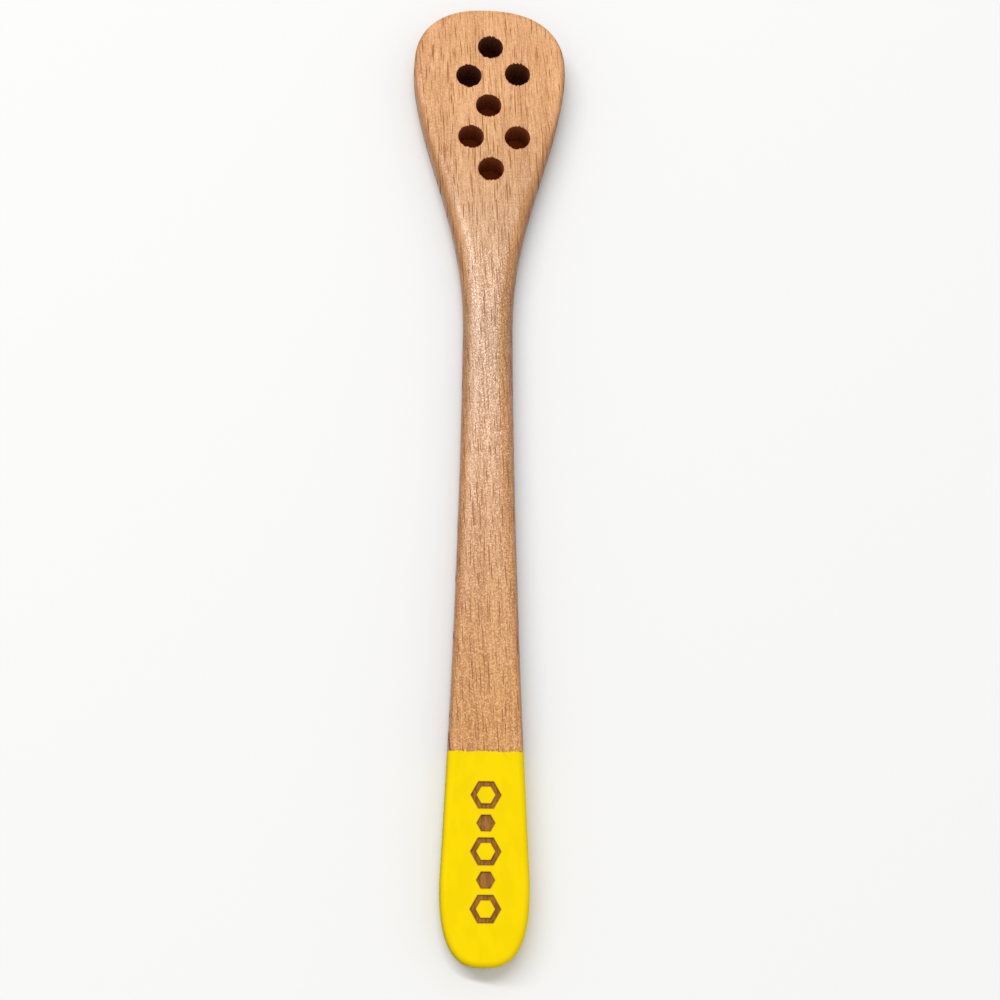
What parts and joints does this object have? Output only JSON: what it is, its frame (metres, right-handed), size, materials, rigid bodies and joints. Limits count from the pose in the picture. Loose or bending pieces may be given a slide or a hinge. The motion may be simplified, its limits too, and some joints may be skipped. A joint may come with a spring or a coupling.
{
  "type": "honey dipper",
  "caption": "Flat wooden honey dipper: a rounded paddle head with round drip holes, a slim neck, and a flat handle with a paint-dipped end.",
  "frame": {"origin": "On the surface that the dipper lies on, under the middle of its length and width", "axes": "+X across the dipper, to the right seen from the front with the head up; +Y along it towards the head's tip; +Z out of its front face"},
  "size_m": [0.0332, 0.203, 0.006],
  "materials": {
    "beech": "sanded and oiled, satin, with short dark flecks along the grain",
    "yellow_paint": "thin satin coat of yellow paint"
  },
  "bodies": {
    "root": {"beech_paddle": "beech", "paint_coat": "yellow_paint"}
  },
  "joints": []
}
